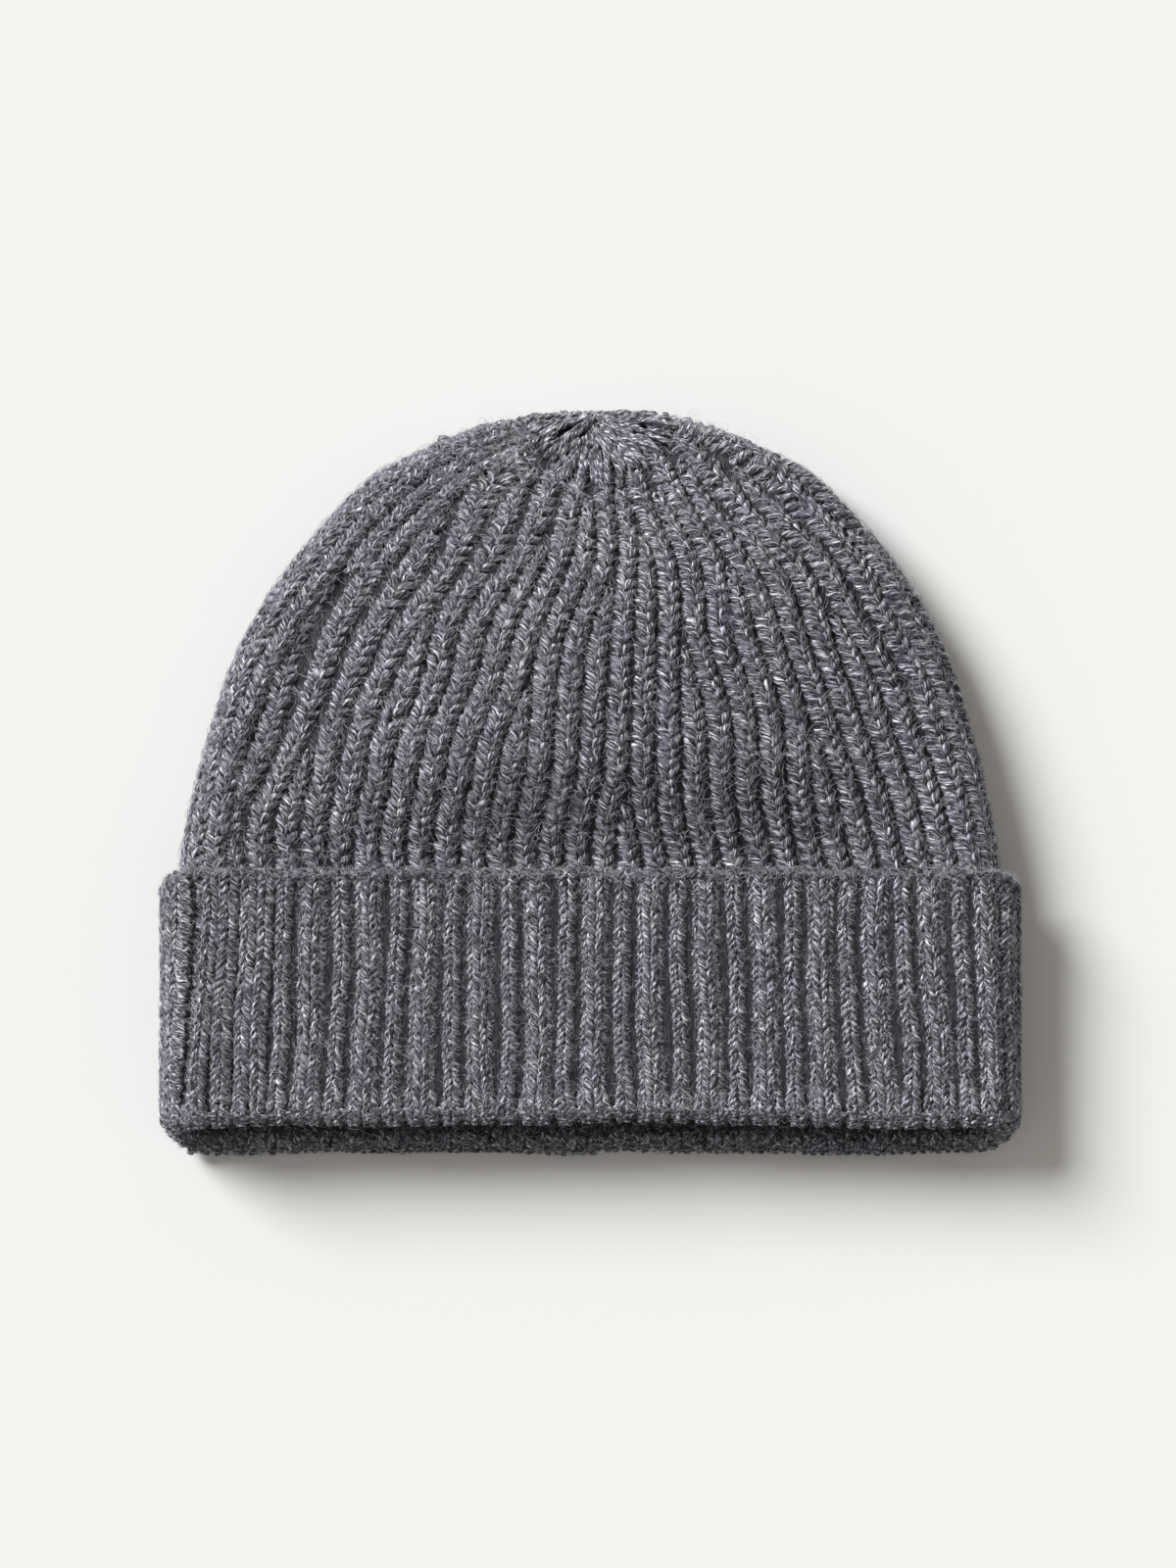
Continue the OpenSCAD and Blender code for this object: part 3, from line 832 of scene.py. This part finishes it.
def sideways(s, step, width, inset=0.0, tilt=0.0):
    """A row of stitches that lies along the cuff's edge or its lip."""
    q = np.arange(0, cuff_girth, step)
    q = q + rng.normal(0, 0.06 * step, len(q))
    st = cuff_frames(q, s + 0.25 * np.sin(q / 9), inset)
    along = np.cross(st["t"], st["n"])
    lift = np.cos(tilt) * st["n"] + np.sin(tilt) * st["t"]
    st.update(n=unit(lift), t=unit(along), w=np.full(len(q), width))
    return st


# The cast-on edge: rows over the rim of the cuff, each turned further over it than the last
top_rows = join([sideways(1.5, edge_step, 3.0, 0.5), sideways(0.6, edge_step, 2.4, 0.8, 0.9)])
edge = join([top_rows, sideways(0.5, 2.5, 1.9, 1.5, 1.5)])
made = legs(edge, edge_step, 0.72, apex=1, rings=8, around=6, groove=0.5, loose=2.2)
# Its wool is darkened as painted shade
yarn_piece("cuff_edge", made, edge_wool_painted_shade, "cuff", ["cuff_cast_on_edge"])
made = fibres(top_rows, edge_step, 6000, 2.4, 0.5, 0.05)
yarn_piece("cuff_edge_fuzz", made, fuzz_wool, "cuff")

turning_step = 1.9
turning = sideways(flat_run + 2.2, turning_step, 1.9, 0.1)
made = legs(turning, turning_step, 0.5, apex=1, rings=8, around=6, groove=0.4, loose=2.0)
yarn_piece("cuff_turning_row", made, cuff_wool, "cuff")

# The side seam's ladder, of one leg to each stitch
seam_s = np.arange(edge_l, flat_run, seam_pitch)
seam_at = np.full(len(seam_s), seam_q)
seam = cuff_frames(seam_at + splay(seam_at, seam_s), seam_s, -0.5)
seam.update(w=np.full(len(seam_s), seam_stitch_w))
made = legs(seam, seam_pitch, 0.66, sides=(1,), apex=1, rings=9, around=6, lean_x=0.36, groove=0.0)
shift = np.cross(seam["t"], seam["n"])[:, None, None] * -1.5
made = (made[0] + shift, made[1])
yarn_piece("cuff_seam_stitches", made, cuff_wool, "cuff", ["cuff_side_seam"])

# The wrong side of the cuff, which shows when the cuff is turned down
for name, on_left in {"cuff_inner_left": True, "cuff_inner_right": False}.items():
    face = cuff_stitches(edge_l, flat_run, 2.9)
    face = keep(face, (face["c"][:, 0] <= 0) == on_left)
    face["n"] = -face["n"]
    made = legs(face, cuff_course, cuff_yarn_r * 0.8, apex=1, rings=6, around=5, lean_x=0.3,
                groove=0.0, long=1.0)
    yarn_piece(name, made, cuff_wool, "cuff", ["cuff_band"])

# The cuff's ground: down the outside, round the lip and up again on the side towards the band, in
# near-black wool as painted shade between the ribs
q_round = np.arange(360) / 360 * cuff_girth


def cuff_round(s, inset):
    return cuff_frames(q_round, s, inset)["c"]


outer_inset, inner_inset = 1.7, 2.5
backing = [cuff_round(s, outer_inset) for s in np.linspace(0.8, flat_run, 24)]
backing += [cuff_round(flat_run + fold_run * share, outer_inset) for share in np.linspace(0.1, 1, 9)]
backing += [cuff_round(flat_run + fold_run * share, inner_inset) for share in np.linspace(1, 0, 9)]
backing += [cuff_round(s, inner_inset) for s in np.linspace(flat_run - 0.5, 0.8, 24)]
loft_piece("cuff_backing", np.array(backing), ground_wool_painted_shade, "cuff", closed=True)

# ---------------------------------------------------------------- the band under the cuff
inner_s = flat_run + fold_run
band_in_depth = 26                  # how far in from the lip the band's wrong side is made
band_in = cuff_stitches(inner_s + body_gap, inner_s + band_in_depth, 0.0, fade=False, lip_wave=0.0)
on_left = band_in["c"][:, 0] < 0
# The band's wrong side, seen through the mouth, takes the inside wool, whose darker colour is painted
# shade
for name, mask in {"band_inside_left": on_left, "band_inside_right": ~on_left}.items():
    part = keep(band_in, mask)
    made = legs(part, cuff_course, cuff_yarn_r, apex=1, rings=7, around=6, lean_x=0.29, groove=0.6,
                loose=1.6)
    yarn_piece(name, made, inside_wool_painted_shade, "hat", ["inner_band"])
made = fibres(band_in, cuff_course, 4000, 2.8, 0.6, 0.05)
yarn_piece("band_inside_fuzz", made, fuzz_wool, "hat")

band_out = cuff_stitches(-8, flat_run - body_gap, band_inset + 0.1, fade=False, lip_wave=0.0)
band_out = keep(band_out, band_out["c"][:, 1] < crown_start_y + 1)
on_left = band_out["c"][:, 0] < 0
for name, mask in {"band_left": on_left, "band_right": ~on_left}.items():
    part = keep(band_out, mask)
    made = legs(part, cuff_course, cuff_yarn_r, apex=-1, rings=7, around=5, lean_x=0.29, groove=0.9)
    yarn_piece(name, made, cuff_wool, "hat", ["inner_band"])


def band_round(inset, y_share):
    """One round of the band's ground, at a share of the way from the fold to the crown."""
    x, z, _, _ = stadium(q_round, inset)
    start = slope * (z - fold_r) - top_y + lip_overreach + fold_r + body_gap
    y = start + (crown_start_y - start) * y_share
    return np.stack([x, y, z], 1)


# The band's ground, in near-black wool as painted shade
lining = [band_round(5.3, share) for share in np.linspace(0, 1, 20)]
lining += [band_round(6.0, share) for share in np.linspace(1, 0, 20)]
loft_piece("band_backing", np.array(lining), ground_wool_painted_shade, "hat", closed=True)

# ---------------------------------------------------------------- seams and yarn on the inside


def seam_yarn(node_name, pitch, r):
    """A seam's ridge as yarn: strands along it, wrapped by one long strand of the sewing yarn. It
    follows the middle and the half sizes, in x and z, of the CAD ridge at each of its rounds."""
    low, high = box_mm(node_name)
    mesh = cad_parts[node_name].data
    world = np.array(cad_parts[node_name].matrix_world)
    co = np.zeros(len(mesh.vertices) * 3)
    mesh.vertices.foreach_get("co", co)
    points = (co.reshape(-1, 3) @ world[:3, :3].T + world[:3, 3]) / MM
    stations = np.unique(np.round(points[:, 1], 2))
    rows = []
    for y in stations:
        at = points[np.abs(points[:, 1] - y) < 0.02]
        if np.ptp(at[:, 0]) > 0.5 and np.ptp(at[:, 2]) > 0.5:
            rows.append([*(at.min(0) + at.max(0)) / 2, np.ptp(at[:, 0]) / 2, np.ptp(at[:, 2]) / 2])
    rows = np.array(rows)
    y = np.linspace(low[1] + 0.4, high[1] - 0.4, int((high[1] - low[1]) / pitch * 16))
    middle = np.stack([np.interp(y, rows[:, 1], rows[:, i]) for i in (0, 2, 3, 4)], 1)
    phi = 2 * np.pi * (y - low[1]) / pitch
    reach_x, reach_z = middle[:, 2] - r * 0.7, middle[:, 3] - r * 0.7
    wrap = np.stack([middle[:, 0] + reach_x * np.cos(phi), y, middle[:, 1] + reach_z * np.sin(phi)], 1)
    cores = 5
    core = []
    for turn in np.arange(cores) * 2 * np.pi / cores:
        slow = turn + (y - low[1]) * 0.35
        core.append(np.stack([middle[:, 0] + 0.5 * reach_x * np.cos(slow), y,
                              middle[:, 1] + 0.5 * reach_z * np.sin(slow)], 1))
    core_r = 0.62 * min(rows[:, 3].min(), rows[:, 4].min())
    radius = np.array([[r]] + [[core_r]] * cores) * np.ones((cores + 1, len(y)))
    return tubes(np.array([wrap] + core), radius, 7)


sewing_r = 0.45
for name, pitch in {"crown_side_seam": 2.4, "inner_band_seam": 2.0, "crown_top_seam": 1.8}.items():
    yarn_piece(name + "_yarn", seam_yarn(name, pitch, sewing_r), inside_wool_painted_shade, "hat", [name])


def draw_yarn():
    """The yarn that draws the crown up: a ring of two twisted plies."""
    low, high = box_mm("crown_draw_yarn")
    middle = (low + high) / 2
    r = (high[1] - low[1]) / 2
    ring = (high[0] - low[0]) / 2 - r
    a = np.linspace(0, 2 * np.pi, 121)
    twists = 7
    plies = []
    for start in (0, np.pi):
        turn = start + twists * a
        out = ring + 0.48 * r * np.cos(turn)
        plies.append(np.stack([middle[0] + out * np.cos(a), middle[1] + 0.48 * r * np.sin(turn),
                               middle[2] + out * np.sin(a)], 1))
    return tubes(np.array(plies), np.full((2, len(a)), 0.55 * r), 8)


yarn_piece("crown_draw_yarn_plies", draw_yarn(), inside_wool_painted_shade, "hat", ["crown_draw_yarn"])

# ---------------------------------------------------------------- floor, light and camera, in metres


def build_floor():
    me = bpy.data.meshes.new("floor")
    half = 4.0
    corners = [(-half, -half, 0), (half, -half, 0), (half, half, 0), (-half, half, 0)]
    me.from_pydata(corners, [], [(0, 1, 2, 3)])
    floor = bpy.data.objects.new("floor", me)
    floor.location.z = -0.0005          # clear of the yarn that rests on it
    bpy.context.scene.collection.objects.link(floor)
    material = bpy.data.materials.new("floor_paper")
    material.use_nodes = True
    shader = material.node_tree.nodes["Principled BSDF"]
    shader.inputs["Base Color"].default_value = (0.8, 0.797, 0.79, 1)
    shader.inputs["Roughness"].default_value = 0.9
    shader.inputs["Specular IOR Level"].default_value = 0.1
    me.materials.append(material)


def build_light():
    """One broad window, high up on the left behind the hat, and a dim warm room."""
    world = bpy.data.worlds.new("studio")
    bpy.context.scene.world = world
    world.use_nodes = True
    background = world.node_tree.nodes["Background"]
    background.inputs["Color"].default_value = (1.0, 0.96, 0.88, 1)
    background.inputs["Strength"].default_value = 0.33
    lamp = bpy.data.lights.new("window", "SUN")
    lamp.color = (0.985, 0.99, 1.0)
    lamp.energy = 4.75
    lamp.angle = np.radians(27)
    key = bpy.data.objects.new("window", lamp)
    key.location = (-0.86, 0.74, 0.74)
    bpy.context.scene.collection.objects.link(key)
    key.rotation_euler = key.location.to_track_quat("Z", "Y").to_euler()


def build_camera():
    """Straight down from above."""
    lens = bpy.data.cameras.new("camera")
    lens.lens = 85
    lens.sensor_width = 36
    camera = bpy.data.objects.new("camera", lens)
    camera.location = (-0.00065, -0.0004, 1.0)
    bpy.context.scene.collection.objects.link(camera)
    bpy.context.scene.camera = camera


build_floor()
build_light()
build_camera()
bpy.context.scene.view_settings.view_transform = "Standard"
